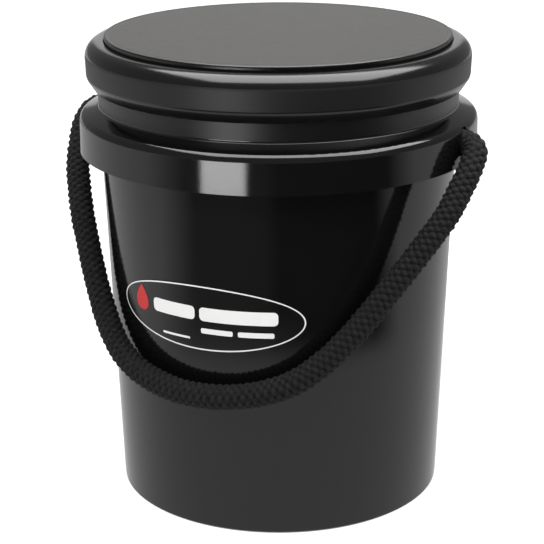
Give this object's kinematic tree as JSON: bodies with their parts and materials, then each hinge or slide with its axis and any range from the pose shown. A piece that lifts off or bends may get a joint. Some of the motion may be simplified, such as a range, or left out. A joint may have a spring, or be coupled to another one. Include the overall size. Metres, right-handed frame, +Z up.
{
  "type": "lidded wash bucket",
  "caption": "Tapered round wash pail with a padded seat lid that lifts off, and a thick rope handle that swings over the lid from front to back.",
  "frame": {"origin": "centre of the foot, on the surface that the pail stands on", "axes": "+Z up along the pail's axis, -Y towards the label at the front, +X through the right rope hole"},
  "size_m": [0.364, 0.3194, 0.3745],
  "materials": {
    "pail_plastic": "glossy black polypropylene",
    "label_film": "printed gloss film",
    "rope_fibre": "matte braided black fibre",
    "shrink_sleeve": "satin shrunk sleeve",
    "lid_plastic": "satin black polyethylene",
    "gasket_rubber": "matte foam rubber",
    "adhesive_sheet": "matte adhesive sheet",
    "pad_foam": "closed-cell foam",
    "pad_cover": "satin fine-grained skin"
  },
  "bodies": {
    "bucket": {"bucket_shell": "pail_plastic", "label_film": "label_film"},
    "handle": {"rope": "rope_fibre", "knot_left": "rope_fibre", "knot_right": "rope_fibre", "end_sleeve_left": "shrink_sleeve", "end_sleeve_right": "shrink_sleeve"},
    "lid": {"lid_shell": "lid_plastic", "lid_gasket": "gasket_rubber", "seat_adhesive": "adhesive_sheet", "seat_core": "pad_foam", "seat_cover": "pad_cover"}
  },
  "joints": [
    {"name": "handle_swing", "type": "hinge", "parent": "bucket", "child": "handle", "pos_m": [0, 0, 0.301], "axis": [-1, 0, 0], "range_deg": [0, 280]},
    {"name": "lid_lift", "type": "slide", "parent": "bucket", "child": "lid", "axis": [0, 0, 1], "range_m": [0, 0.1]}
  ]
}
